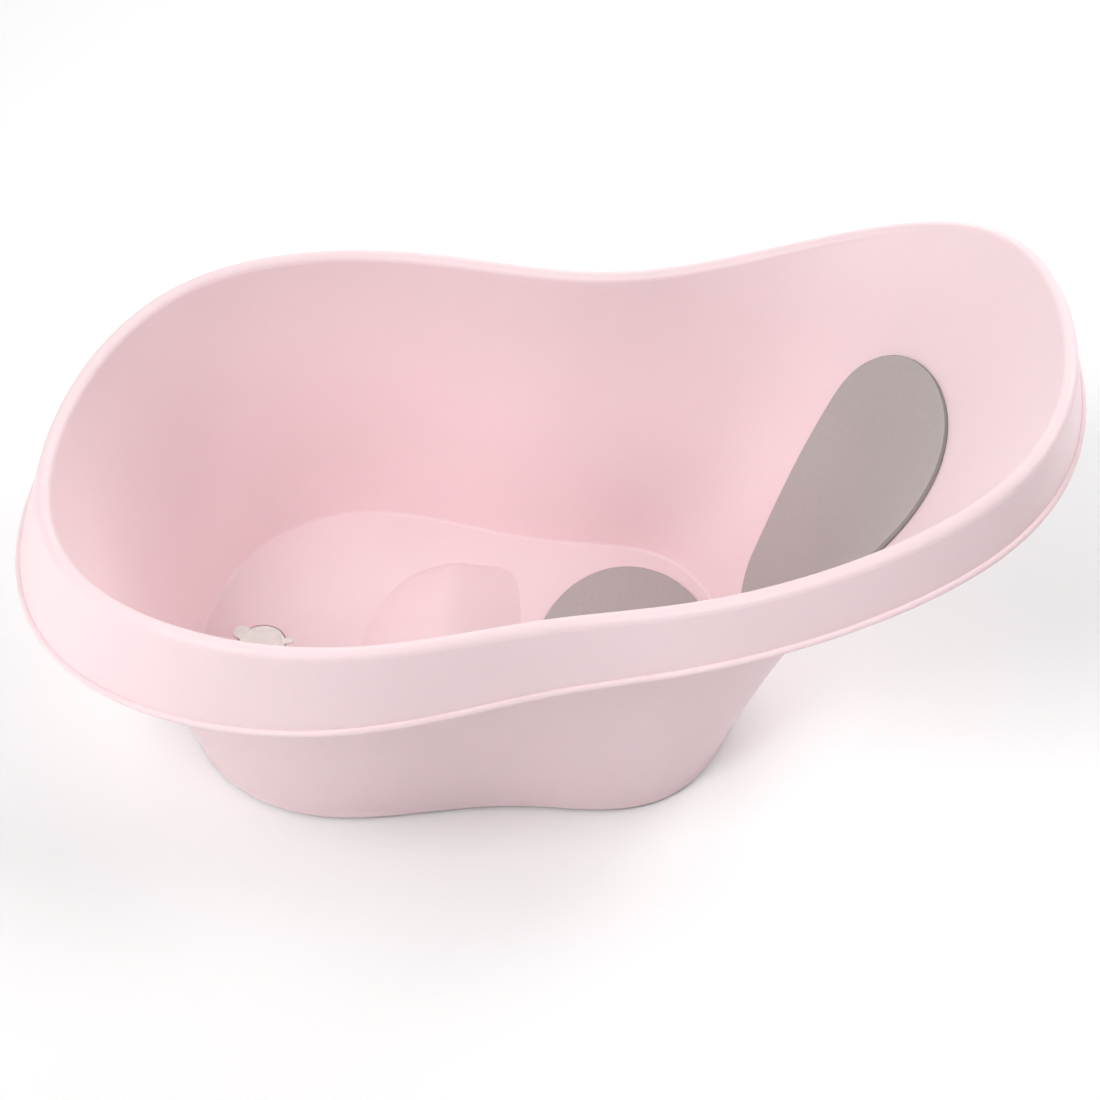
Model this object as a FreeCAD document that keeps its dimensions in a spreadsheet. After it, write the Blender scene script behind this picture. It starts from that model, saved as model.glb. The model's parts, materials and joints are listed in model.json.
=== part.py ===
"""Baby bathtub with a moulded seat bump, two foam pads, a drain plug and rubber feet.

Millimetres, +Z up, +X towards the high head end, +Y towards the far side.
The origin is on the ground under the middle of the tub. The tub is symmetric
about the XZ plane, and each outline runs anticlockwise from the head end.
"""
import FreeCAD, Part
import math
import os
import re

import Sketcher

STATIONS = ("head", "crown", "shoulder", "waist", "hip", "toe", "foot")

# Centre line of the rolled rim at each station, on the +Y side.
RIM = {
    "head": (333, 0, 344),
    "crown": (285, 123, 329),
    "shoulder": (148, 160, 268),
    "waist": (24, 166, 237),
    "hip": (-115, 190, 227),
    "toe": (-262, 144, 223),
    "foot": (-320, 0, 211),
}

# Outside of the foot band that the tub stands on, at the same stations.
BASE = {
    "head": (158, 0),
    "crown": (114, 108),
    "shoulder": (29, 128),
    "waist": (-44, 136),
    "hip": (-142, 148),
    "toe": (-224, 100),
    "foot": (-253, 0),
}

# How far the middle of the wall bows out of the straight line from band to rim.
BOW = {"head": -25, "crown": -20, "shoulder": -8, "waist": -1, "hip": 0, "toe": 0, "foot": 0}

# Half the backrest pad's outline: distance along its slope, and half width there.
REST = {
    "top": (362, 0),
    "temple": (345, 66),
    "widest": (298, 92),
    "ribs": (235, 80),
    "loin": (165, 66),
    "tail": (109, 51),
    "bottom": (84, 0),
}

SIZES = {
    # moulded shell
    "wall": 3,
    "rim_radius": 5.8,
    "flare_head": 14,
    "flare_side": 14,
    "flare_foot": 27,
    "drop_head": 33,
    "drop_side": 45,
    "drop_foot": 57,
    "bead_radius": 2.5,
    "band_bottom": 3,
    "band_top": 11,
    "band_fillet": 1.2,
    "band_wall": 3.5,
    "floor_top": 9,
    "floor_fillet": 2.5,
    "floor_inset": 8.6,
    # seat bump moulded into the floor
    "bump_front": -126,
    "bump_ridge": -62,
    "bump_back": -8,
    "bump_half_width": 92,
    "bump_height": 25,
    # drain
    "drain_centre": -200,
    "drain_bore": 24,
    "drain_recess": 37,
    "drain_recess_depth": 2.7,
    "drain_boss": 48,
    "drain_boss_drop": 3,
    # plug
    "plug_flange": 35,
    "plug_flange_height": 2.8,
    "plug_dish": 29,
    "plug_dish_depth": 0.8,
    "plug_stem": 23,
    "plug_tip": 21,
    "plug_stem_length": 5.5,
    "plug_gap": 0.3,
    "plug_edge": 0.6,
    "plug_tab_low": 2.6,
    "plug_tab_width": 12,
    "plug_tab_reach": 25.5,
    "plug_tab_height": 1.2,
    "plug_tab_angle": 152,
    "plug_nub_width": 4.6,
    "plug_nub_reach": 23.6,
    "plug_nub_angle": 10,
    # foam seat pad and its adhesive film
    "seat_centre": 72,
    "seat_half_length": 69,
    "seat_half_width": 98,
    "pad_thickness": 3,
    "pad_chamfer": 0.8,
    "film": 0.4,
    "film_inset": 2,
    # foam backrest pad: its outline is cut square to this slope
    "rest_lean": 24,
    "rest_clearance": 0.05,
    # rubber feet
    "foot_diameter": 30,
    "foot_play": 0.3,
    "foot_groove_radius": 8,
    "foot_chamfer": 1,
    "foot_groove_width": 1.6,
    "foot_groove_depth": 1,
    "foot_ring_wall": 2,
    "foot_ring_drop": 2,
    "foot_head_x": 70,
    "foot_head_y": 84,
    "foot_toe_x": -180,
    "foot_toe_y": 98,
}

# How finely the moulding's skins are lofted: points round each ring and rings per zone.
RING_POINTS = 36
FILLET_RINGS = 4
ROLL_RINGS = 7
BEAD_RINGS = 5
WALL_LEVELS = (0, 0.06, 0.13, 0.22, 0.35, 0.5, 0.65, 0.8, 1)
SETTLE_ROUNDS = 40

# The wall's bow is fuller above its middle by this share.
BOW_RISE = 0.4

# How quickly the wall thins out above the floor.
RUN_IN_POWER = 5

# The bump: its slices across the tub in degrees of turn, and for each side of the
# ridge the share of the way out against the share of the height.
BUMP_SLICES = (-89, -78, -64, -45, -22, 0, 22, 45, 64, 78, 89)
BUMP_RAMP = ((0.66, 0.45), (0.33, 0.8))
BUMP_FLANK = ((0.2, 0.86), (0.5, 0.54), (0.8, 0.21))
BUMP_SQUARENESS = 0.25
BUMP_DOME = 1.2

# The patch of head wall that the backrest pad is cut from.
PATCH_TURNS = tuple(range(-72, 73, 8))
PRISM_REACH = 260

UP = FreeCAD.Vector(0, 0, 1)

doc = FreeCAD.newDocument("BabyBathtub")
sheet = doc.addObject("Spreadsheet::Sheet", "Dimensions")
working = doc.addObject("Spreadsheet::Sheet", "Working")


def fill_sheet():
    """Write every driving dimension as text, with its alias in column B."""
    values = dict(SIZES)
    tables = (("rim", RIM, "xyz"), ("base", BASE, "xy"), ("rest", REST, ("along", "half")))
    for outline, table, axes in tables:
        for station, place in table.items():
            for axis, value in zip(axes, place):
                values[f"{outline}_{station}_{axis}"] = value
    for station, value in BOW.items():
        values[f"bow_{station}"] = value
    for row, (alias, value) in enumerate(values.items(), start=1):
        sheet.set(f"A{row}", alias)
        sheet.set(f"B{row}", str(value))
        sheet.setAlias(f"B{row}", alias)
    doc.recompute()


def size(alias):
    return float(sheet.get(alias))


def bind(thing, **expressions):
    """Bind properties of an object to expressions; __ stands for a dot in a name."""
    for path, expression in expressions.items():
        thing.setExpression(path.replace("__", "."), expression)


# ---------------------------------------------------------------- outlines

def angles():
    return [2 * math.pi * k / RING_POINTS for k in range(RING_POINTS)]


def closed_curve(points):
    """The smooth closed cubic through points that are evenly spaced in its parameter.

    On such a curve each point is a sixth of (pole before + 4 poles + pole after),
    which a few rounds of averaging solve for the poles.
    """
    count = len(points)
    poles = list(points)
    for _ in range(SETTLE_ROUNDS):
        pairs = [poles[k - 1] + poles[(k + 1) % count] for k in range(count)]
        poles = [(points[k] * 6 - pairs[k]) / 4 for k in range(count)]
    knots = [2 * math.pi * k / count for k in range(count + 1)]
    curve = Part.BSplineCurve()
    curve.buildFromPolesMultsKnots(poles[-1:] + poles[:-1], [1] * (count + 1), knots, True, 3)
    return curve


def mirrored(points):
    """The closed curve through points on the +Y side and their mirror images."""
    images = [FreeCAD.Vector(point.x, -point.y, point.z) for point in points]
    return closed_curve(points + images[-2:0:-1])


def rim_curve():
    places = [[size(f"rim_{name}_{axis}") for axis in "xyz"] for name in STATIONS]
    return mirrored([FreeCAD.Vector(*place) for place in places])


def base_curve():
    height = size("band_top")
    places = [[size(f"base_{name}_{axis}") for axis in "xy"] for name in STATIONS]
    return mirrored([FreeCAD.Vector(*place, height) for place in places])


def bow_curve():
    """Carries the wall's bow in x, so that it varies smoothly between stations."""
    return mirrored([FreeCAD.Vector(size(f"bow_{name}"), 0, 0) for name in STATIONS])


def outward(curve, t):
    """The level unit vector that points out of a closed curve at parameter t."""
    along = curve.tangent(t)[0]
    return FreeCAD.Vector(along.y, -along.x, 0).normalize()


def by_end(name, t):
    """A skirt size that varies smoothly from the head, round the side, to the foot."""
    head = size(f"{name}_head")
    side = size(f"{name}_side")
    foot = size(f"{name}_foot")
    c = math.cos(t)
    return side + (head - foot) / 2 * c + ((head + foot) / 2 - side) * c * c


def tangent_lean(out, rise, radius):
    """Lean from vertical of a line that starts (out, rise) away from a circle's centre."""
    return math.atan2(out, rise) - math.asin(radius / math.hypot(out, rise))


class Section:
    """The shell's cross-section at one parameter t of its outlines."""

    def __init__(self, rim, base, bow, t):
        self.bow = bow.value(t).x
        self.centre = rim.value(t)
        self.rim_out = outward(rim, t)
        self.foot = base.value(t)
        self.foot_out = outward(base, t)
        reach = self.centre - self.foot
        self.lean = tangent_lean(reach.dot(self.rim_out), reach.z, under_radius)
        flare = by_end("flare", t)
        drop = by_end("drop", t)
        self.bead = self.centre + self.rim_out * flare - UP * drop
        self.skirt_lean = tangent_lean(flare, drop, rim_radius)
        self.skirt_down = self.rim_out * math.sin(self.skirt_lean) - UP * math.cos(self.skirt_lean)
        self.skirt_out = self.rim_out * math.cos(self.skirt_lean) + UP * math.sin(self.skirt_lean)
        top = self.on_roll(under_radius, 1) - self.foot
        self.foot_lean = math.atan2(top.dot(self.foot_out), top.z)

    def on_roll(self, radius, part):
        """A point of the rim roll: part 0 is on the skirt side, 1 on the wall side."""
        start = self.skirt_lean
        end = math.pi - self.lean
        turn = start + (end - start) * part
        spoke = self.rim_out * math.cos(turn) + UP * math.sin(turn)
        return self.centre + spoke * radius

    def fillet(self, part):
        """A point of the fillet between floor and wall: 0 is on the floor, 1 on the wall."""
        lean = self.foot_lean
        turn = -math.pi / 2 + (math.pi / 2 - lean) * part
        place = self.foot + self.foot_out * (floor_fillet * math.cos(turn) - floor_inset)
        place.z = floor_top + floor_fillet * (1 + math.sin(turn))
        return place

    def wall_point(self, inside, level, lift=0):
        """A point of the inner or outer wall face, lifted off it by a distance.

        The inner face runs in towards its fillet at the very bottom.
        """
        if inside:
            run_in = floor_inset - (wall + floor_fillet) / math.cos(self.foot_lean)
            low = self.fillet(1) + self.foot_out * run_in
            high = self.on_roll(rim_radius, 1)
        else:
            run_in = 0
            low = self.foot
            high = self.on_roll(under_radius, 1)
        bow = self.bow * 4 * level * (1 - level) * (1 + BOW_RISE * (2 * level - 1))
        face_out = self.rim_out * math.cos(self.lean) - UP * math.sin(self.lean)
        place = low + (high - low) * level + self.rim_out * bow - face_out * lift
        return place - self.foot_out * (run_in * (1 - level) ** RUN_IN_POWER)

    def lifted_wall(self, level, lift):
        return self.wall_point(True, level, lift)

    def band(self, inset, height):
        place = self.foot - self.foot_out * inset
        place.z = height
        return place

    def on_bead(self, part):
        """A point of the half-round bead: 0 is at its top, 1 at its bottom."""
        turn = math.pi * part
        side = self.skirt_out * (bead_radius * math.sin(turn))
        return self.bead - self.skirt_down * (bead_radius * math.cos(turn)) + side

    def lip(self):
        """The inner corner of the skirt's lower edge."""
        return self.bead + self.skirt_down * (bead_radius / 2) - self.skirt_out * wall


def section_at(t):
    return Section(RIM_CURVE, BASE_CURVE, BOW_CURVE, t)


def ring(sections, place):
    """One closed edge round the shell; place gives its point in a section."""
    points = [place(section) for section in sections]
    return Part.Wire(closed_curve(points).toShape())


def skin(rings):
    """The faces that run smoothly through a list of rings."""
    return Part.makeLoft(rings, False, len(rings) == 2).Faces


def shell_blank():
    """The bare moulding, sewn from its skins: open bowl, rolled rim and skirt."""
    sections = [section_at(t) for t in angles()]

    def arc(place, count):
        steps = [k / (count - 1) for k in range(count)]
        return [ring(sections, lambda s, p=p: place(s, p)) for p in steps]

    def levels(inside):
        return [ring(sections, lambda s, v=v: s.wall_point(inside, v)) for v in WALL_LEVELS]

    fillet = arc(Section.fillet, FILLET_RINGS)
    inner = levels(True)
    outer = levels(False)
    roll = arc(lambda s, p: s.on_roll(rim_radius, p), ROLL_RINGS)
    under = arc(lambda s, p: s.on_roll(under_radius, p), ROLL_RINGS)
    bead = arc(Section.on_bead, BEAD_RINGS)
    lip = ring(sections, Section.lip)
    round_start = ring(sections, lambda s: s.band(0, band_bottom + band_fillet))
    diagonal = band_fillet * (1 - math.sqrt(0.5))
    round_middle = ring(sections, lambda s: s.band(diagonal, band_bottom + diagonal))
    round_end = ring(sections, lambda s: s.band(band_fillet, band_bottom))
    band_inner = ring(sections, lambda s: s.band(band_wall, band_bottom))
    underside = ring(sections, lambda s: s.band(band_wall, floor_top - wall))

    faces = []
    faces += [Part.Face(fillet[0])]
    faces += skin(fillet)
    faces += skin(inner)
    faces += skin(roll)
    faces += skin([roll[0], bead[0]])
    faces += skin(bead)
    faces += skin([bead[-1], lip])
    faces += skin([lip, under[0]])
    faces += skin(under)
    faces += skin(outer)
    faces += skin([outer[0], round_start])
    faces += skin([round_start, round_middle, round_end])
    faces += skin([round_end, band_inner])
    faces += skin([band_inner, underside])
    faces += [Part.Face(underside)]
    sewn = Part.Compound(faces)
    sewn.sewShape(0.01)
    solid = Part.Solid(sewn.Shells[0])
    if solid.Volume < 0:
        solid.reverse()
    return solid


fill_sheet()
wall = size("wall")
rim_radius = size("rim_radius")
under_radius = rim_radius - wall
bead_radius = size("bead_radius")
band_bottom = size("band_bottom")
band_top = size("band_top")
band_fillet = size("band_fillet")
band_wall = size("band_wall")
floor_top = size("floor_top")
floor_fillet = size("floor_fillet")
floor_inset = size("floor_inset")
RIM_CURVE = rim_curve()
BASE_CURVE = base_curve()
BOW_CURVE = bow_curve()


# ------------------------------------------------------------- seat bump

def bump_slice(turn, shrink):
    """One upright slice of the bump at y = half width x sin(turn), made smaller all round."""
    ridge = size("bump_ridge")
    half = size("bump_half_width") - shrink
    taper = math.cos(turn)
    front = ridge + (size("bump_front") + shrink - ridge) * taper
    back = ridge + (size("bump_back") - shrink - ridge) * taper ** BUMP_SQUARENESS
    rise = (size("bump_height") - shrink) * taper ** BUMP_DOME
    y = half * math.sin(turn)
    low = floor_top - wall - shrink if shrink else floor_top - wall / 2
    base = floor_top - shrink
    profile = [(front, base)]
    profile += [(ridge + (front - ridge) * out, base + rise * up) for out, up in BUMP_RAMP]
    profile += [(ridge, base + rise)]
    profile += [(ridge + (back - ridge) * out, base + rise * up) for out, up in BUMP_FLANK]
    profile += [(back, base)]
    points = [FreeCAD.Vector(x, y, z) for x, z in profile]
    top = Part.BSplineCurve()
    top.interpolate(points)
    corner = FreeCAD.Vector(back, y, low), FreeCAD.Vector(front, y, low)
    edges = [top.toShape()]
    edges += [Part.makeLine(points[-1], corner[0])]
    edges += [Part.makeLine(corner[0], corner[1])]
    edges += [Part.makeLine(corner[1], points[0])]
    return Part.Wire(edges)


def bump(shrink):
    """The bump as a solid; shrunk by the wall it is the hollow underneath."""
    turns = [math.radians(degrees) for degrees in BUMP_SLICES]
    return Part.makeLoft([bump_slice(turn, shrink) for turn in turns], True, False)


# ------------------------------------------------------- document objects

def feature(name, shape):
    thing = doc.addObject("Part::Feature", name)
    thing.Shape = shape
    return thing


def cylinder(name, diameter, height, x, y, z):
    """A Part cylinder whose diameter, height and place are expressions."""
    thing = doc.addObject("Part::Cylinder", name)
    bind(thing, Radius=cell(f"({diameter}) / 2"), Height=cell(height))
    bind(thing, Placement__Base__x=cell(x), Placement__Base__y=cell(y), Placement__Base__z=cell(z))
    return thing


def cell(expression):
    """Put the sheet's name before each alias in an expression."""
    return re.sub(r"[a-z][a-z_]*", lambda word: "Dimensions." + word.group(), expression)


def union(name, pieces):
    thing = doc.addObject("Part::MultiFuse", name)
    thing.Shapes = pieces
    return thing


def difference(name, base, tool):
    thing = doc.addObject("Part::Cut", name)
    thing.Base = base
    thing.Tool = tool
    return thing


FEET = {
    "foot_head_near": ("foot_head_x", "-foot_head_y"),
    "foot_head_far": ("foot_head_x", "foot_head_y"),
    "foot_toe_near": ("foot_toe_x", "-foot_toe_y"),
    "foot_toe_far": ("foot_toe_x", "foot_toe_y"),
}
UNDERSIDE = "floor_top - wall"


def tub_shell():
    """The one-piece moulding, with its bump, drain and the rings that locate the feet."""
    boss_low = f"{UNDERSIDE} - drain_boss_drop"
    ring_low = f"{UNDERSIDE} - foot_ring_drop"
    added = [feature("shell_blank", shell_blank()), feature("bump_skin", bump(0))]
    boss_height = "drain_boss_drop + wall / 2"
    added += [cylinder("drain_boss", "drain_boss", boss_height, "drain_centre", "0", boss_low)]
    cut = [feature("bump_hollow", bump(wall))]
    recess_low = "floor_top - drain_recess_depth"
    cut += [cylinder("drain_recess", "drain_recess", "wall", "drain_centre", "0", recess_low)]
    cut += [cylinder("drain_bore", "drain_bore", "floor_top", "drain_centre", "0", "0")]
    for name, (x, y) in FEET.items():
        outer = "foot_diameter + 2 * foot_ring_wall + 2 * foot_play"
        inner = "foot_diameter + 2 * foot_play"
        added += [cylinder(f"{name}_ring", outer, "foot_ring_drop + wall / 2", x, y, ring_low)]
        cut += [cylinder(f"{name}_socket", inner, "foot_ring_drop", x, y, ring_low)]
    body = union("moulded_body", added)
    tools = union("moulded_hollows", cut)
    return difference("tub_shell", body, tools)


# ------------------------------------------------------------ plug and feet

def origin_plane(body, role):
    return [item for item in body.Origin.OriginFeatures if item.Role == role][0]


def polygon_sketch(body, name, corners):
    """A closed sketch on the XZ plane; each corner is a pair of expressions."""
    sketch = body.newObject("Sketcher::SketchObject", name)
    sketch.AttachmentSupport = [(origin_plane(body, "XZ_Plane"), "")]
    sketch.MapMode = "FlatFace"
    places = [[evaluate(expression) for expression in corner] for corner in corners]
    count = len(corners)
    for k in range(count):
        start = FreeCAD.Vector(*places[k], 0)
        end = FreeCAD.Vector(*places[(k + 1) % count], 0)
        sketch.addGeometry(Part.LineSegment(start, end), False)
    for k in range(count):
        sketch.addConstraint(Sketcher.Constraint("Coincident", k, 2, (k + 1) % count, 1))
    for k, corner in enumerate(corners):
        for kind, axis, value, expression in zip(
            ("DistanceX", "DistanceY"), (-2, -1), places[k], corner
        ):
            if value == 0:
                sketch.addConstraint(Sketcher.Constraint("PointOnObject", k, 1, axis))
                continue
            index = sketch.addConstraint(Sketcher.Constraint(kind, -1, 1, k, 1, value))
            sketch.setExpression(f"Constraints[{index}]", cell(expression))
    return sketch


def evaluate(expression):
    """The value of an expression of aliases, worked out in a sheet of its own."""
    working.set("A1", "=" + cell(expression))
    working.recompute()
    return float(working.get("A1"))


def revolved(name, corners):
    """A PartDesign body turned about its own Z axis from a closed outline."""
    body = doc.addObject("PartDesign::Body", name)
    sketch = polygon_sketch(body, f"{name}_outline", corners)
    turn = body.newObject("PartDesign::Revolution", f"{name}_turned")
    turn.Profile = sketch
    turn.ReferenceAxis = (sketch, ["V_Axis"])
    turn.Angle = 360
    return body


def lobe(body, name, width, inner, reach, low, height, angle):
    """A round-ended lobe on a turned body, from an inner distance out to a reach."""
    sketch = body.newObject("Sketcher::SketchObject", f"{name}_outline")
    sketch.AttachmentSupport = [(origin_plane(body, "XY_Plane"), "")]
    sketch.MapMode = "FlatFace"
    bind(sketch, AttachmentOffset__Base__z=cell(low), AttachmentOffset__Rotation__Angle=cell(angle))
    half = evaluate(f"({width}) / 2")
    start = evaluate(inner)
    end = evaluate(f"({reach}) - ({width}) / 2")
    upper = (FreeCAD.Vector(start, half, 0), FreeCAD.Vector(end, half, 0))
    lower = (FreeCAD.Vector(end, -half, 0), FreeCAD.Vector(start, -half, 0))
    tip = Part.Circle(FreeCAD.Vector(end, 0, 0), UP, half)
    sketch.addGeometry(Part.LineSegment(*upper), False)
    sketch.addGeometry(Part.ArcOfCircle(tip, -math.pi / 2, math.pi / 2), False)
    sketch.addGeometry(Part.LineSegment(*lower), False)
    sketch.addGeometry(Part.LineSegment(lower[1], upper[0]), False)
    sketch.addConstraint(Sketcher.Constraint("Tangent", 0, 2, 1, 2))
    sketch.addConstraint(Sketcher.Constraint("Tangent", 1, 1, 2, 1))
    sketch.addConstraint(Sketcher.Constraint("Coincident", 2, 2, 3, 1))
    sketch.addConstraint(Sketcher.Constraint("Coincident", 3, 2, 0, 1))
    sketch.addConstraint(Sketcher.Constraint("Horizontal", 0))
    sketch.addConstraint(Sketcher.Constraint("Vertical", 3))
    sketch.addConstraint(Sketcher.Constraint("PointOnObject", 1, 3, -1))
    near = sketch.addConstraint(Sketcher.Constraint("DistanceX", -1, 1, 0, 1, start))
    radius = sketch.addConstraint(Sketcher.Constraint("Radius", 1, half))
    length = sketch.addConstraint(Sketcher.Constraint("DistanceX", -1, 1, 1, 3, end))
    sketch.setExpression(f"Constraints[{near}]", cell(inner))
    sketch.setExpression(f"Constraints[{radius}]", cell(f"({width}) / 2"))
    sketch.setExpression(f"Constraints[{length}]", cell(f"({reach}) - ({width}) / 2"))
    pad = body.newObject("PartDesign::Pad", name)
    pad.Profile = sketch
    bind(pad, Length=cell(height))
    return pad


def drain_plug():
    """The silicone plug: a dished flange, a short stem with a sealing lip, and two grips."""
    top = "plug_flange_height"
    body = revolved("drain_plug", (
        ("0", "-plug_stem_length"),
        ("plug_tip / 2", "-plug_stem_length"),
        ("plug_stem / 2", "-plug_stem_length / 2"),
        ("plug_stem / 2", "0"),
        ("plug_flange / 2 - plug_edge", "0"),
        ("plug_flange / 2", "plug_edge"),
        ("plug_flange / 2", f"{top} - plug_edge"),
        ("plug_flange / 2 - plug_edge", top),
        ("plug_dish / 2 + plug_dish_depth", top),
        ("plug_dish / 2", f"{top} - plug_dish_depth"),
        ("0", f"{top} - plug_dish_depth"),
    ))
    inner = "plug_dish / 2 + plug_dish_depth"
    rise = ("plug_tab_low", "plug_tab_height")
    lobe(body, "plug_tab", "plug_tab_width", inner, "plug_tab_reach", *rise, "plug_tab_angle")
    lobe(body, "plug_nub", "plug_nub_width", inner, "plug_nub_reach", *rise, "plug_nub_angle")
    seat = "floor_top - drain_recess_depth + plug_gap"
    bind(body, Placement__Base__x=cell("drain_centre"), Placement__Base__z=cell(seat))
    return body


def rubber_foot(name):
    """A rubber disc with a chamfered, grooved sole, bonded into its ring."""
    x, y = FEET[name]
    height = f"{UNDERSIDE} - film"
    inner = "foot_groove_radius"
    outer = "foot_groove_radius + foot_groove_width"
    body = revolved(name, (
        ("0", "0"),
        (inner, "0"),
        (inner, "foot_groove_depth"),
        (outer, "foot_groove_depth"),
        (outer, "0"),
        ("foot_diameter / 2 - foot_chamfer", "0"),
        ("foot_diameter / 2", "foot_chamfer"),
        ("foot_diameter / 2", height),
        ("0", height),
    ))
    bind(body, Placement__Base__x=cell(x), Placement__Base__y=cell(y))
    return body


def foot_adhesives():
    """The four adhesive discs between the feet and the tub's underside."""
    discs = []
    low = f"{UNDERSIDE} - film"
    for name, (x, y) in FEET.items():
        discs += [cylinder(f"{name}_film", "foot_diameter - film_inset", "film", x, y, low)]
    group = doc.addObject("Part::Compound", "foot_adhesives")
    group.Links = discs
    return group


# ------------------------------------------------------------- foam pads

def oval(name, inset, low, height):
    """An upright oval slab under the seat, set in from the pad's edge."""
    ellipse = doc.addObject("Part::Ellipse", f"{name}_outline")
    bind(ellipse, MajorRadius=cell(f"seat_half_width - {inset}"))
    bind(ellipse, MinorRadius=cell(f"seat_half_length - {inset}"))
    ellipse.Placement.Rotation = FreeCAD.Rotation(UP, 90)
    bind(ellipse, Placement__Base__x=cell("seat_centre"), Placement__Base__z=cell(low))
    slab = doc.addObject("Part::Extrusion", name)
    slab.Base = ellipse
    slab.Dir = UP
    slab.Solid = True
    bind(slab, LengthFwd=cell(height))
    return slab


def seat_pad():
    """The foam oval on the floor, with a chamfered top edge."""
    slab = oval("seat_pad_slab", "0", "floor_top + film", "pad_thickness")
    doc.recompute()
    top = max(range(len(slab.Shape.Edges)), key=lambda k: slab.Shape.Edges[k].CenterOfMass.z)
    chamfer = size("pad_chamfer")
    pad = doc.addObject("Part::Chamfer", "seat_pad")
    pad.Base = slab
    pad.Edges = [(top + 1, chamfer, chamfer)]
    return pad


def wall_sheet(lift):
    """A patch of the head wall's inner face, lifted off it towards the middle."""
    turns = [math.radians(degrees) for degrees in PATCH_TURNS]
    sections = [section_at(turn % (2 * math.pi)) for turn in turns]
    grid = [[section.lifted_wall(level, lift) for level in WALL_LEVELS] for section in sections]
    patch = Part.BSplineSurface()
    patch.interpolate(grid)
    return patch.toShape()


def wall_layer(low, high):
    """The solid between two lifted patches of the head wall."""
    under = wall_sheet(low)
    over = wall_sheet(high)
    sides = [Part.makeRuledSurface(a, b) for a, b in zip(under.Edges, over.Edges)]
    sewn = Part.Compound([under, over] + sides)
    sewn.sewShape(0.001)
    solid = Part.Solid(sewn.Shells[0])
    if solid.Volume < 0:
        solid.reverse()
    return solid


def rest_prism(inset):
    """The backrest pad's outline, cut square to its slope and long enough to pass the wall."""
    lean = math.radians(size("rest_lean"))
    along = FreeCAD.Vector(math.sin(lean), 0, math.cos(lean))
    square = FreeCAD.Vector(math.cos(lean), 0, -math.sin(lean))
    places = [[size(f"rest_{name}_{part}") for part in ("along", "half")] for name in REST]
    outline = mirrored([FreeCAD.Vector(*place, 0) for place in places])
    edge = []
    for t in angles():
        spot = outline.value(t) - outward(outline, t) * inset
        edge.append(along * spot.x + FreeCAD.Vector(0, spot.y, 0))
    face = Part.Face(Part.Wire(closed_curve(edge).toShape()))
    return face.extrude(square * PRISM_REACH)


def wall_pad(name, low, thickness, inset):
    """A piece of sheet on the head wall: the part of a wall layer inside the pad's outline."""
    layer = feature(f"{name}_layer", wall_layer(low, low + thickness))
    prism = feature(f"{name}_prism", rest_prism(inset))
    pad = doc.addObject("Part::Common", name)
    pad.Base = layer
    pad.Tool = prism
    return pad


# ------------------------------------------------------------------ output

def check(thing):
    """Stop if an object failed to recompute."""
    bad = [state for state in thing.State if state in ("Invalid", "Error")]
    if bad:
        raise RuntimeError(f"{thing.Label}: {bad}")


def export(nodes):
    os.makedirs("parts", exist_ok=True)
    doc.recompute()
    for thing in doc.Objects:
        check(thing)
    for node in nodes:
        if node.Shape.isNull() or not node.Shape.isValid():
            raise RuntimeError(f"{node.Label}: bad shape")
    for node in nodes:
        node.Shape.exportStep(f"parts/{node.Label}.step")
        box = node.Shape.BoundBox
        print(node.Label, len(node.Shape.Solids), "solids", round(node.Shape.Volume), "mm3", box)


def build():
    film = size("film")
    inset = size("film_inset")
    clear = size("rest_clearance")
    nodes = [tub_shell()]
    nodes += [oval("seat_adhesive", "film_inset", "floor_top", "film")]
    nodes += [seat_pad()]
    nodes += [wall_pad("backrest_adhesive", clear, film, inset)]
    nodes += [wall_pad("backrest_pad", film + 2 * clear, size("pad_thickness"), 0)]
    nodes += [drain_plug()]
    nodes += [rubber_foot(name) for name in FEET]
    nodes += [foot_adhesives()]
    export(nodes)


build()
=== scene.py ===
"""A pink baby bathtub with grey foam pads and a white drain plug, on a pale floor.

Metres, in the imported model's frame: +X to the high head end, +Y to the far side,
+Z up. The shell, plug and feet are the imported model's own nodes with procedural
materials. The two foam pads are built here over the shell's surface.
"""
import json
import math

import bpy
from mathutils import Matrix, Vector
from mathutils.geometry import convex_hull_2d

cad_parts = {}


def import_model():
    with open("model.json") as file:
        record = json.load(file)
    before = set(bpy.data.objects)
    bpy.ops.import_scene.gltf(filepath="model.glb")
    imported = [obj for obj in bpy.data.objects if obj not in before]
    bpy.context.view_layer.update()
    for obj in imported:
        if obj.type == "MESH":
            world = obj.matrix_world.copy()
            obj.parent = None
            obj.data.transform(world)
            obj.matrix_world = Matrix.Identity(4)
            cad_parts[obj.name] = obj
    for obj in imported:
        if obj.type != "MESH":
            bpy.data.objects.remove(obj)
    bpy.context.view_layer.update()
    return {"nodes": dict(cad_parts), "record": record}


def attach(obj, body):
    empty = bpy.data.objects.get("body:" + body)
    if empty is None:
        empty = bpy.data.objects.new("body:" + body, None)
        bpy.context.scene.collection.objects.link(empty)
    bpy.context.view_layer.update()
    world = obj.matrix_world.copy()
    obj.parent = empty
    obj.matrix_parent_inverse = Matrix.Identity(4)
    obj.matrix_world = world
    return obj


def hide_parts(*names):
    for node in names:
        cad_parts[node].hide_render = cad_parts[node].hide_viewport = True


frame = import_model()

MM = 0.001


# ------------------------------------------------------------------ camera

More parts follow.
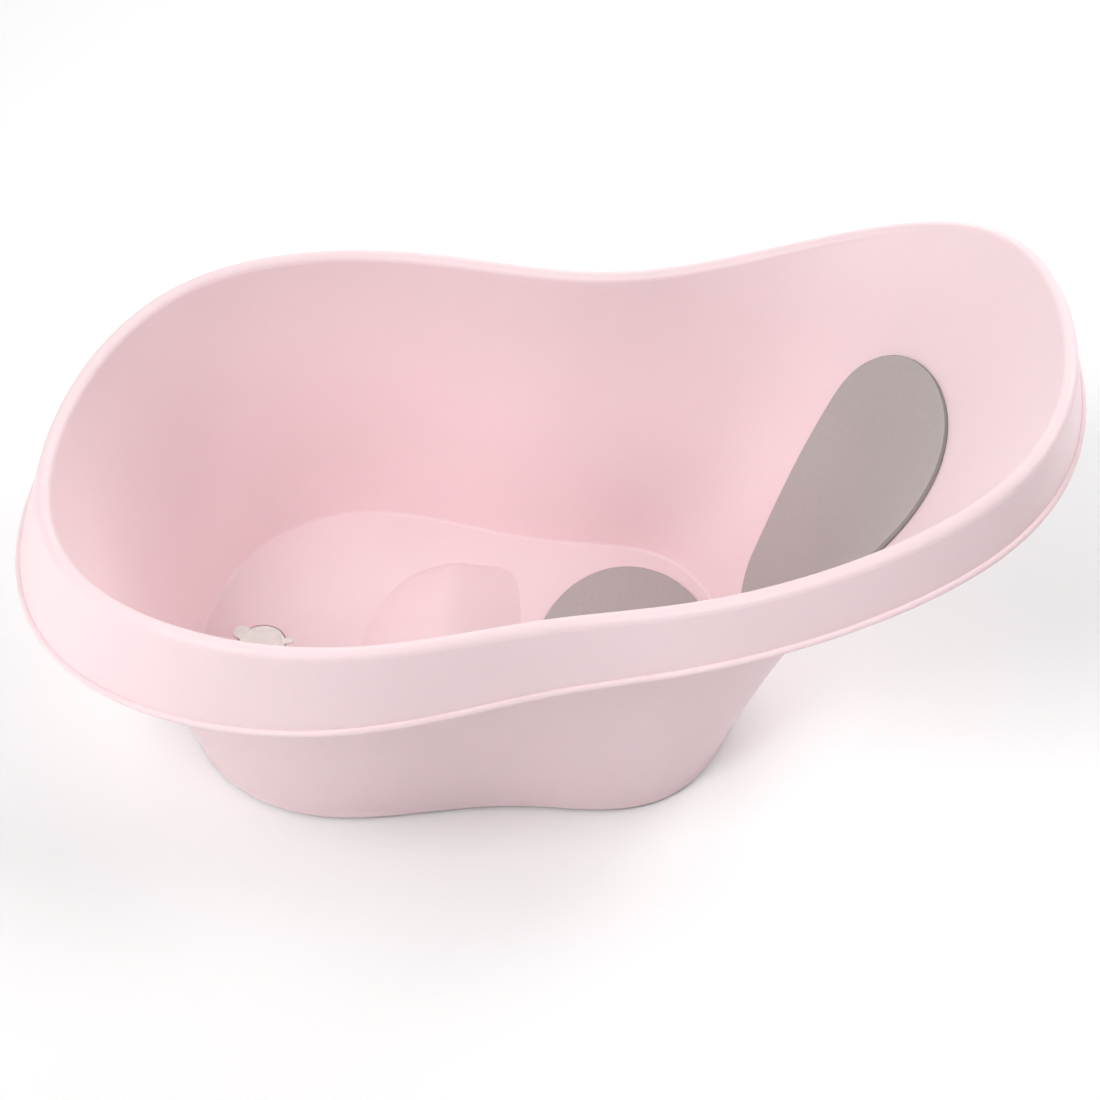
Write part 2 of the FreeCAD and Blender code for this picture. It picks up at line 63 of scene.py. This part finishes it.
def camera():
    """A lens of moderate length, looking down on the tub from just right of its middle."""
    azimuth = math.radians(4.69)
    elevation = math.radians(47.0)
    distance = 1.4
    target = Vector((0.016, 0, 0.1259))
    level = Vector((math.sin(azimuth), -math.cos(azimuth), 0)) * math.cos(elevation)
    back = level + Vector((0, 0, math.sin(elevation)))
    data = bpy.data.cameras.new("camera")
    data.sensor_width = 36
    data.lens = 65.57
    data.shift_x = 0.0003
    data.shift_y = 0.0036
    data.clip_end = 20
    item = bpy.data.objects.new("camera", data)
    item.location = target + back * distance
    item.rotation_euler = back.to_track_quat("Z", "Y").to_euler()
    bpy.context.scene.collection.objects.link(item)
    bpy.context.scene.camera = item


# --------------------------------------------------------------- materials

# The attribute that is 1 on a pad's cut edge and 0 on its faces: it marks where the foam gets
# painted shade.
PAINTED_EDGE_SHADE = "edge_shade_mask"


class Nodes:
    """A small helper that makes and links a material's nodes."""

    def __init__(self, name):
        self.material = bpy.data.materials.new(name)
        self.material.use_nodes = True
        self.tree = self.material.node_tree
        self.shader = self.tree.nodes["Principled BSDF"]
        self.place = self.add("ShaderNodeTexCoord").outputs["Object"]

    def add(self, kind, **values):
        """A new node of a kind, with some of its settings."""
        node = self.tree.nodes.new(kind)
        for name, value in values.items():
            setattr(node, name, value)
        return node

    def link(self, output, socket):
        """Join an output to an input socket."""
        self.tree.links.new(output, socket)

    def noise(self, size, detail=2.0, roughness=0.5):
        """Noise whose features are about size metres across."""
        node = self.add("ShaderNodeTexNoise")
        self.link(self.place, node.inputs["Vector"])
        node.inputs["Scale"].default_value = 1 / size
        node.inputs["Detail"].default_value = detail
        node.inputs["Roughness"].default_value = roughness
        return node.outputs["Fac"]

    def cells(self, size):
        """Distance to the nearest of scattered points about size metres apart."""
        node = self.add("ShaderNodeTexVoronoi")
        self.link(self.place, node.inputs["Vector"])
        node.inputs["Scale"].default_value = 1 / size
        return node.outputs["Distance"]

    def ramp(self, value, stops):
        """A colour ramp through (position, colour) stops."""
        node = self.add("ShaderNodeValToRGB")
        elements = node.color_ramp.elements
        while len(elements) < len(stops):
            elements.new(0.5)
        for element, (position, colour) in zip(elements, stops):
            element.position = position
            element.color = (*colour, 1)
        self.link(value, node.inputs["Fac"])
        return node.outputs["Color"]

    def spread(self, value, low, high):
        """The value 0 to 1 mapped to low to high."""
        node = self.add("ShaderNodeMapRange")
        self.link(value, node.inputs["Value"])
        node.inputs["To Min"].default_value = low
        node.inputs["To Max"].default_value = high
        return node.outputs["Result"]

    def mix(self, factor, first, second):
        """The first colour where the factor is 0, the second where it is 1."""
        node = self.add("ShaderNodeMix", data_type="RGBA")
        self.link(factor, node.inputs["Factor"])
        self.link(first, node.inputs["A"])
        self.link(second, node.inputs["B"])
        return node.outputs["Result"]

    def bump(self, height, depth, below=None):
        """Bumps of a depth in metres, on top of another bump's normal."""
        node = self.add("ShaderNodeBump")
        node.inputs["Distance"].default_value = depth
        self.link(height, node.inputs["Height"])
        if below:
            self.link(below, node.inputs["Normal"])
        return node.outputs["Normal"]

    def finish(self, colour, roughness, normal, **settings):
        """Link what varies over the surface, and set the shader's other inputs."""
        self.link(colour, self.shader.inputs["Base Color"])
        self.link(roughness, self.shader.inputs["Roughness"])
        self.link(normal, self.shader.inputs["Normal"])
        for name, value in settings.items():
            self.shader.inputs[name.replace("_", " ")].default_value = value
        return self.material


def shade(colour, factor):
    """The colour made darker or lighter by a factor."""
    return tuple(channel * factor for channel in colour)


def pink_plastic():
    """Matt moulded polypropylene: a fine spark-eroded grain, slight flow marks, rare specks."""
    pink = (0.89, 0.70, 0.725)
    nodes = Nodes("pink_plastic")
    flow = nodes.noise(0.09, 3)
    body = nodes.ramp(flow, ((0.3, shade(pink, 0.985)), (0.7, shade(pink, 1.012))))
    speck = nodes.ramp(nodes.cells(0.030), ((0.008, (1, 1, 1)), (0.016, (0, 0, 0))))
    fleck = nodes.ramp(nodes.noise(0.05), ((0, shade(pink, 0.80)), (1, shade(pink, 0.88))))
    colour = nodes.mix(speck, body, fleck)
    roughness = nodes.spread(nodes.noise(0.004, 3), 0.40, 0.50)
    waves = nodes.bump(nodes.noise(0.06, 1), 0.0006)
    grain = nodes.bump(nodes.noise(0.0009, 3, 0.6), 0.00003, waves)
    return nodes.finish(colour, roughness, grain, IOR=1.46, Subsurface_Weight=0.12,
                        Subsurface_Radius=(0.006, 0.003, 0.003), Subsurface_Scale=1.0)


def grey_foam():
    """Closed-cell foam: warm grey, fine mottling, painted shade in the pinhole cells and along the
    cut edge.
    """
    grey = (0.455, 0.408, 0.402)
    nodes = Nodes("grey_foam")
    mottle = nodes.noise(0.0022, 4, 0.65)
    body = nodes.ramp(mottle, ((0.3, shade(grey, 0.95)), (0.7, shade(grey, 1.04))))
    pores = nodes.cells(0.0011)
    # Painted shade: the pinhole cells are darkened as if shadowed inside.
    pore_shade_mask = nodes.ramp(pores, ((0.12, (1, 1, 1)), (0.25, (0, 0, 0))))
    painted_pore_shade = nodes.ramp(mottle, ((0, shade(grey, 0.75)), (1, shade(grey, 0.82))))
    face = nodes.mix(pore_shade_mask, body, painted_pore_shade)
    # Painted shade: the cut edge is darkened to stand in for the shadow along the pad's outline.
    edge = nodes.ramp(mottle, ((0, shade(grey, 0.55)), (1, shade(grey, 0.66))))
    edge_shade_mask = nodes.add("ShaderNodeAttribute", attribute_name=PAINTED_EDGE_SHADE).outputs["Fac"]
    colour = nodes.mix(edge_shade_mask, face, edge)
    roughness = nodes.spread(mottle, 0.62, 0.78)
    rolling = nodes.bump(nodes.noise(0.012, 2), 0.0002)
    surface = nodes.bump(pores, 0.00006, rolling)
    return nodes.finish(colour, roughness, surface, Sheen_Weight=0.15, Sheen_Roughness=0.5)


def white_silicone():
    """Soft satin silicone with a slight bloom of dust."""
    cream = (0.90, 0.89, 0.84)
    nodes = Nodes("white_silicone")
    cloud = nodes.noise(0.006, 3)
    colour = nodes.ramp(cloud, ((0.3, shade(cream, 0.95)), (0.7, shade(cream, 1.03))))
    roughness = nodes.spread(cloud, 0.38, 0.52)
    surface = nodes.bump(nodes.noise(0.0007, 2), 0.00003)
    return nodes.finish(colour, roughness, surface, IOR=1.41, Subsurface_Weight=0.2,
                        Subsurface_Radius=(0.003, 0.0025, 0.002), Subsurface_Scale=1.0)


def foot_rubber():
    """Matt grey rubber with a fine moulded grain and scuffed high spots."""
    grey = (0.33, 0.30, 0.30)
    nodes = Nodes("foot_rubber")
    scuff = nodes.noise(0.003, 4, 0.7)
    colour = nodes.ramp(scuff, ((0.35, shade(grey, 0.88)), (0.7, shade(grey, 1.12))))
    roughness = nodes.spread(scuff, 0.6, 0.8)
    surface = nodes.bump(nodes.noise(0.0005, 2), 0.00005)
    return nodes.finish(colour, roughness, surface)


def adhesive_film():
    """Pale double-sided film, a little uneven where it was pressed down."""
    pale = (0.72, 0.70, 0.66)
    nodes = Nodes("adhesive_film")
    press = nodes.noise(0.008, 2)
    colour = nodes.ramp(press, ((0.3, shade(pale, 0.94)), (0.7, shade(pale, 1.04))))
    roughness = nodes.spread(press, 0.25, 0.45)
    surface = nodes.bump(press, 0.00005)
    return nodes.finish(colour, roughness, surface)


MAKERS = {
    "pink_plastic": pink_plastic,
    "grey_foam": grey_foam,
    "white_silicone": white_silicone,
    "foot_rubber": foot_rubber,
    "adhesive_film": adhesive_film,
}
materials = {slot: make() for slot, make in MAKERS.items()}


def paint_nodes():
    """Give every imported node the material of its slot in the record."""
    for part in frame["record"]["subparts"]:
        item = frame["nodes"][part["node"]]
        item.data.materials.clear()
        item.data.materials.append(materials[part["material_slot"]])


# -------------------------------------------------------------- foam pads

# How far the plane that the backrest pad is laid out on leans back from upright.
BACKREST_LEAN = math.radians(24)
# A pad's points are laid in closed laps, with this many points to a lap.
LAP_POINTS = 144
# A pad's edge in section, from its underside to its top face, in millimetres:
# how far in from the outline, and how high above the shell.
EDGE_PROFILE = (
    (0.15, 0.45),
    (0.0, 0.7),
    (0.0, 1.8),
    (0.02, 2.7),
    (0.15, 3.05),
    (0.45, 3.25),
    (1.0, 3.36),
    (2.2, 3.4),
    (3.6, 3.42),
)
UNDERSIDE = EDGE_PROFILE[0][1] * MM
TOP_FACE = EDGE_PROFILE[-1][1] * MM
# The laps of the profile that show cut foam, counted from the underside; the foam material paints
# shade on these.
SHADED_EDGE_LAPS = 5
# The laps inside the edge, as shares of the outline.
FACE_LAPS = (0.93, 0.85, 0.75, 0.64, 0.52, 0.4, 0.28, 0.16, 0.07)
# How much higher a pad's top is in its middle than at its edge.
CROWN = 0.25 * MM
# A point is pressed on the shell from this far away.
PRESS_FROM = 0.5
# The shell's normal is taken over this far to each side of a point.
NORMAL_REACH = 4 * MM


class Slope:
    """A plane to lay a pad out on, and the direction in which it is pressed on the shell."""

    def __init__(self, along, across):
        self.along = along
        self.across = across
        self.press = along.cross(across).normalized()

    def flat(self, point):
        """A point's place on the slope."""
        return Vector((point.dot(self.along), point.dot(self.across)))

    def raised(self, flat, height):
        """A point at a height over a place on the slope."""
        return self.along * flat.x + self.across * flat.y - self.press * height


def lap_ray(k):
    """The direction from a pad's middle to point k of a lap."""
    turn = 2 * math.pi * k / LAP_POINTS
    return Vector((math.cos(turn), math.sin(turn)))


def reach_to(hull, middle, ray):
    """How far the ray from the middle goes before it leaves a convex outline."""
    for a, b in zip(hull, hull[1:] + hull[:1]):
        a = a - middle
        edge = b - middle - a
        cross = ray.x * edge.y - ray.y * edge.x
        if abs(cross) < 1e-12:
            continue
        reach = (a.x * edge.y - a.y * edge.x) / cross
        share = (a.x * ray.y - a.y * ray.x) / cross
        if reach > 0 and -1e-6 <= share <= 1 + 1e-6:
            return reach
    raise ValueError("the ray misses the outline")


class Lay:
    """A pad's outline on its slope, and where its points come when it lies on the shell."""

    def __init__(self, node, slope):
        self.slope = slope
        flats = [slope.flat(vertex.co) for vertex in node.data.vertices]
        hull = [flats[k] for k in convex_hull_2d(flats)]
        self.middle = sum(hull, Vector((0, 0))) / len(hull)
        self.reaches = [reach_to(hull, self.middle, lap_ray(k)) for k in range(LAP_POINTS)]

    def touch(self, flat):
        """The shell's surface under a place on the slope."""
        start = self.slope.raised(flat, PRESS_FROM)
        hit, place, _, _ = frame["nodes"]["tub_shell"].ray_cast(start, self.slope.press)
        if not hit:
            raise ValueError("the pad hangs off the shell")
        return place

    def outward(self, flat):
        """The shell's smoothed normal, from points a small step apart."""
        along = Vector((NORMAL_REACH, 0))
        across = Vector((0, NORMAL_REACH))
        ahead = self.touch(flat + along) - self.touch(flat - along)
        aside = self.touch(flat + across) - self.touch(flat - across)
        return -ahead.cross(aside).normalized()

    def above(self, flat, height):
        """A point at a height above the shell."""
        return self.touch(flat) + self.outward(flat) * height

    def lap(self, share, inset, height):
        """One lap of points at a share of the outline, inset from it, at a height."""
        points = []
        for k in range(LAP_POINTS):
            flat = self.middle + lap_ray(k) * (self.reaches[k] * share - inset)
            points.append(self.above(flat, height))
        return points


def pad_faces(laps, top, bottom):
    """Quads between the laps, closed by a fan to the top point and one to the bottom point."""
    steps = [(k, (k + 1) % LAP_POINTS) for k in range(LAP_POINTS)]
    last = (laps - 1) * LAP_POINTS
    faces = []
    for low in range(0, last, LAP_POINTS):
        high = low + LAP_POINTS
        faces += [(low + k, low + after, high + after, high + k) for k, after in steps]
    for k, after in steps:
        faces.append((last + k, last + after, top))
        faces.append((after, k, bottom))
    return faces


def pad(name, node_name, slope):
    """A foam pad with a crisp edge and a slight crown, lying on the shell's surface."""
    lay = Lay(frame["nodes"][node_name], slope)
    laps = [lay.lap(share, 0, UNDERSIDE) for share in reversed(FACE_LAPS)]
    first_edge_lap = len(laps)
    laps += [lay.lap(1, inset * MM, height * MM) for inset, height in EDGE_PROFILE]
    laps += [lay.lap(share, 0, TOP_FACE + CROWN * (1 - share ** 3)) for share in FACE_LAPS]
    points = [point for lap in laps for point in lap]
    top = len(points)
    bottom = top + 1
    points.append(lay.above(lay.middle, TOP_FACE + CROWN))
    points.append(lay.above(lay.middle, UNDERSIDE))

    mesh = bpy.data.meshes.new(name)
    mesh.from_pydata(points, [], pad_faces(len(laps), top, bottom))
    mesh.update()
    mesh.shade_smooth()
    mesh.materials.append(materials["grey_foam"])
    # Mark the edge laps that the foam material darkens with painted shade.
    edge_shade_mask = mesh.attributes.new(PAINTED_EDGE_SHADE, "FLOAT", "POINT")
    for index in range(first_edge_lap * LAP_POINTS, (first_edge_lap + SHADED_EDGE_LAPS) * LAP_POINTS):
        edge_shade_mask.data[index].value = 1
    item = bpy.data.objects.new(name, mesh)
    bpy.context.scene.collection.objects.link(item)
    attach(item, "tub")
    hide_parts(node_name)


def foam_pads():
    """The seat pad, laid out level, and the backrest pad, laid out up the head wall."""
    side = Vector((0, 1, 0))
    level = Slope(Vector((-1, 0, 0)), side)
    uphill = Vector((math.sin(BACKREST_LEAN), 0, math.cos(BACKREST_LEAN)))
    pad("seat_foam", "seat_pad", level)
    pad("backrest_foam", "backrest_pad", Slope(uphill, -side))


# ---------------------------------------------------------- floor and light

# The floor's square reaches this far each way.
FLOOR_REACH = 30
# The floor starts to be lit up at the first distance from the middle, and is white from the second.
SWEEP = (1.4, 3.2)
# The studio's soft lights: place, size and power.
LIGHTS = {
    "high_left": ((-1.6, 0.2, 1.9), 1.4, 9.5),
    "high_right": ((1.6, 0.2, 1.9), 1.4, 23),
    "high_front": ((-1.0, -1.1, 2.0), 1.2, 30),
    "front_left": ((-1.4, -1.9, 1.3), 1.2, 13),
    "left": ((-2.4, 0, 1.1), 1.2, 3),
    "back": ((0, 2.2, 1.2), 1.4, 18),
    "back_right": ((1.6, 1.6, 1.3), 1.2, 19),
}
# The lights face this point inside the tub.
LIGHT_AIM = Vector((0, 0, 0.15))
# How strongly the surroundings light the scene.
WORLD_GLOW = 0.03


def floor():
    """A large pale floor under the feet, lit up far from the tub like a studio's sweep."""
    mesh = bpy.data.meshes.new("floor")
    signs = ((-1, -1), (1, -1), (1, 1), (-1, 1))
    corners = [(x * FLOOR_REACH, y * FLOOR_REACH, 0) for x, y in signs]
    mesh.from_pydata(corners, [], [(0, 1, 2, 3)])
    nodes = Nodes("floor")
    cloud = nodes.noise(0.8, 2)
    colour = nodes.ramp(cloud, ((0.3, (0.95, 0.95, 0.95)), (0.7, (0.96, 0.96, 0.96))))
    roughness = nodes.spread(cloud, 0.85, 0.95)
    surface = nodes.bump(nodes.noise(0.002), 0.00002)
    distance = nodes.add("ShaderNodeVectorMath", operation="LENGTH")
    nodes.link(nodes.place, distance.inputs[0])
    sweep = nodes.add("ShaderNodeMapRange", interpolation_type="SMOOTHSTEP")
    nodes.link(distance.outputs["Value"], sweep.inputs["Value"])
    sweep.inputs["From Min"].default_value = SWEEP[0]
    sweep.inputs["From Max"].default_value = SWEEP[1]
    nodes.link(sweep.outputs["Result"], nodes.shader.inputs["Emission Strength"])
    mesh.materials.append(nodes.finish(colour, roughness, surface, Emission_Color=(1, 1, 1, 1)))
    item = bpy.data.objects.new("floor", mesh)
    bpy.context.scene.collection.objects.link(item)


def area_light(name, place, size, power):
    """A round soft light that faces the tub."""
    data = bpy.data.lights.new(name, "AREA")
    data.shape = "DISK"
    data.size = size
    data.energy = power
    item = bpy.data.objects.new(name, data)
    item.location = place
    item.rotation_euler = (Vector(place) - LIGHT_AIM).to_track_quat("Z", "Y").to_euler()
    bpy.context.scene.collection.objects.link(item)


def world():
    """A faint glow all round that looks white where the floor ends."""
    scene_world = bpy.data.worlds.new("studio")
    scene_world.use_nodes = True
    tree = scene_world.node_tree
    background = tree.nodes["Background"]
    background.inputs["Color"].default_value = (1, 1, 1, 1)
    seen = tree.nodes.new("ShaderNodeLightPath")
    strength = tree.nodes.new("ShaderNodeMapRange")
    strength.inputs["To Min"].default_value = WORLD_GLOW
    strength.inputs["To Max"].default_value = 1
    tree.links.new(seen.outputs["Is Camera Ray"], strength.inputs["Value"])
    tree.links.new(strength.outputs["Result"], background.inputs["Strength"])
    bpy.context.scene.world = scene_world


camera()
paint_nodes()
foam_pads()
floor()
for name, (place, size, power) in LIGHTS.items():
    area_light(name, place, size, power)
world()
bpy.context.scene.view_settings.view_transform = "Standard"
